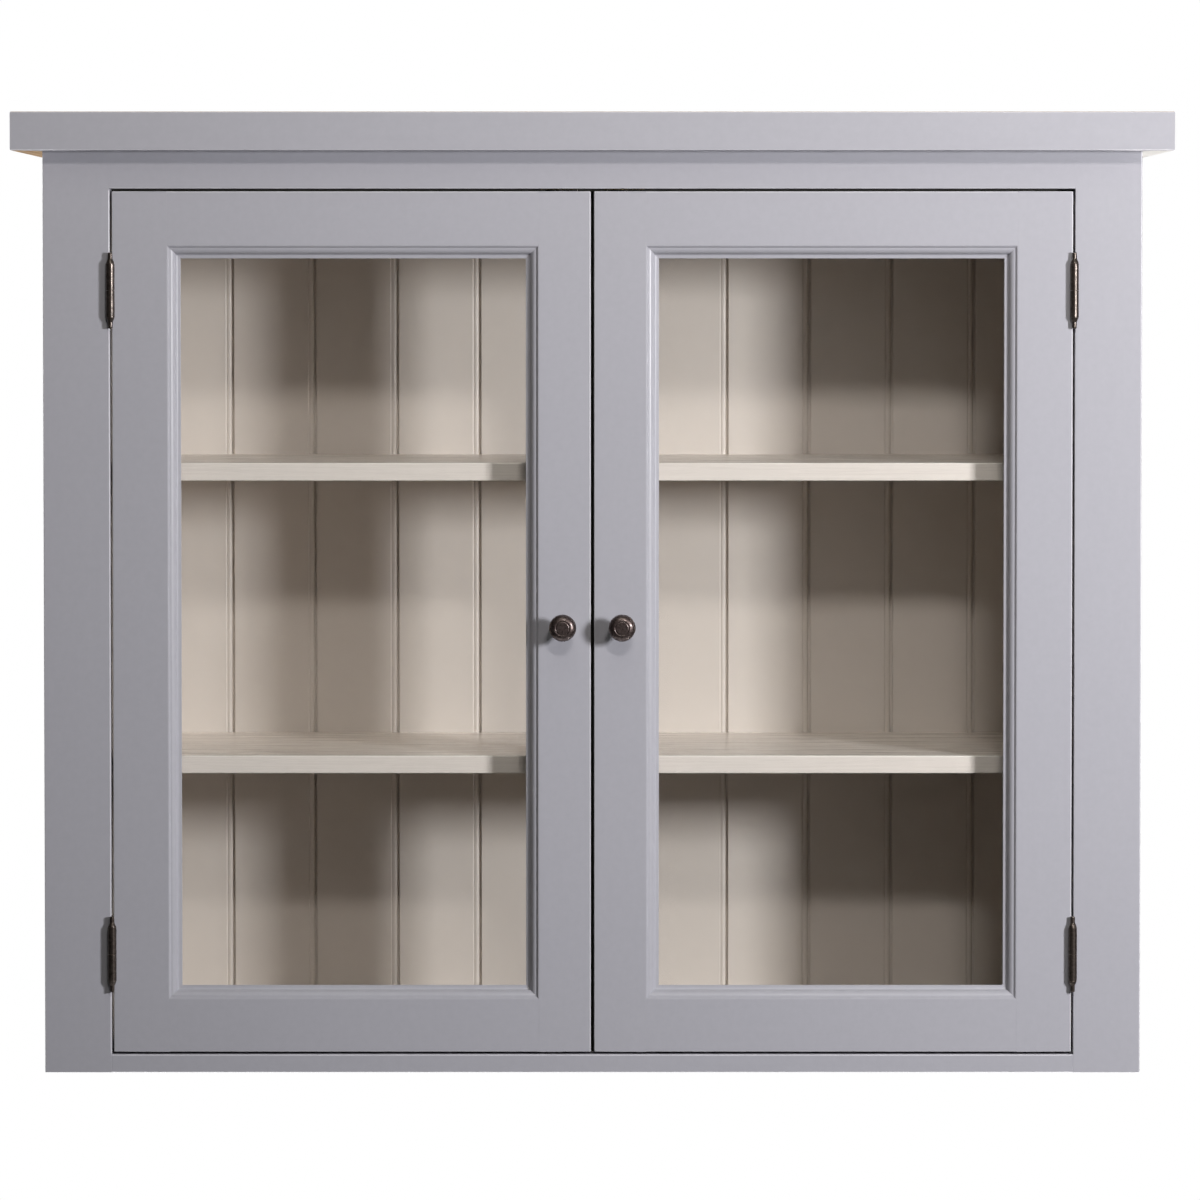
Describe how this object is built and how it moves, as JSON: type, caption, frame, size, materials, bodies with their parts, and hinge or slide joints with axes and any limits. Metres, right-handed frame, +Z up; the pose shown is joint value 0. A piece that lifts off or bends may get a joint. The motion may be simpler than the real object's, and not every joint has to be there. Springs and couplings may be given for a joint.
{
  "type": "kitchen wall cabinet",
  "caption": "Wall-hung kitchen cabinet with a face frame, inset glazed doors on butt hinges, shelves and a beaded board back.",
  "frame": {"origin": "on the wall plane, at the middle of the cabinet's lower back edge", "axes": "+X to the right seen from the front, +Y back into the wall, +Z up; the doors face -Y"},
  "size_m": [1.156, 0.362, 0.9615],
  "materials": {
    "outside_paint": "satin lavender-grey paint on wood",
    "side_paint": "satin lavender-grey paint outside, stone paint inside",
    "inside_paint": "satin stone paint on wood",
    "glass": "clear",
    "hinge_metal": "dark antique bronze",
    "knob_metal": "dark antique pewter",
    "catch_brass": "plain brass",
    "screw_steel": "bright steel"
  },
  "bodies": {
    "carcass": {"left_side_panel": "side_paint", "right_side_panel": "side_paint", "top_panel": "inside_paint", "bottom_panel": "inside_paint", "lower_shelf": "inside_paint", "upper_shelf": "inside_paint", "hanging_rail": "inside_paint", "lower_batten": "inside_paint", "door_stops": "inside_paint", "centre_post": "inside_paint", "left_back_board_1": "inside_paint", "left_back_board_2": "inside_paint", "left_back_board_3": "inside_paint", "left_back_board_4": "inside_paint", "left_back_board_5": "inside_paint", "left_back_board_6": "inside_paint", "right_back_board_7": "inside_paint", "right_back_board_6": "inside_paint", "right_back_board_5": "inside_paint", "right_back_board_4": "inside_paint", "right_back_board_3": "inside_paint", "right_back_board_2": "inside_paint", "right_back_board_1": "inside_paint", "left_frame_stile": "outside_paint", "right_frame_stile": "outside_paint", "top_frame_rail": "outside_paint", "bottom_frame_rail": "outside_paint", "cornice_front": "outside_paint", "cornice_left": "outside_paint", "cornice_right": "outside_paint", "frame_hinge_leaves": "hinge_metal", "hinge_pins": "hinge_metal", "frame_fasteners": "screw_steel", "catch_strikes": "catch_brass"},
    "left_door": {"left_door_outer_stile": "outside_paint", "left_door_meeting_stile": "outside_paint", "left_door_top_rail": "outside_paint", "left_door_bottom_rail": "outside_paint", "left_door_moulding": "outside_paint", "left_door_rear_beads": "outside_paint", "left_door_glass": "glass", "left_door_hinge_leaves": "hinge_metal", "left_door_knob": "knob_metal", "left_door_fasteners": "screw_steel", "left_catch_plate": "catch_brass", "left_catch_spring": "screw_steel"},
    "left_catch_ball": {"left_catch_ball": "screw_steel"},
    "right_door": {"right_door_outer_stile": "outside_paint", "right_door_meeting_stile": "outside_paint", "right_door_top_rail": "outside_paint", "right_door_bottom_rail": "outside_paint", "right_door_moulding": "outside_paint", "right_door_rear_beads": "outside_paint", "right_door_glass": "glass", "right_door_hinge_leaves": "hinge_metal", "right_door_knob": "knob_metal", "right_door_fasteners": "screw_steel", "right_catch_plate": "catch_brass", "right_catch_spring": "screw_steel"},
    "right_catch_ball": {"right_catch_ball": "screw_steel"}
  },
  "joints": [
    {"name": "left_door_hinge", "type": "hinge", "parent": "carcass", "child": "left_door", "pos_m": [-0.481, -0.33455, 0.45175], "axis": [0, 0, -1], "range_deg": [0, 170]},
    {"name": "right_door_hinge", "type": "hinge", "parent": "carcass", "child": "right_door", "pos_m": [0.481, -0.33455, 0.45175], "axis": [0, 0, 1], "range_deg": [0, 170]},
    {"name": "left_ball_travel", "type": "slide", "parent": "left_door", "child": "left_catch_ball", "axis": [0, 0, -1], "range_m": [0, 0.0019], "stiffness_N_per_m": 1500, "springref_m": -0.001, "deforming": ["left_catch_spring"]},
    {"name": "right_ball_travel", "type": "slide", "parent": "right_door", "child": "right_catch_ball", "axis": [0, 0, -1], "range_m": [0, 0.0019], "stiffness_N_per_m": 1500, "springref_m": -0.001, "deforming": ["right_catch_spring"]}
  ]
}
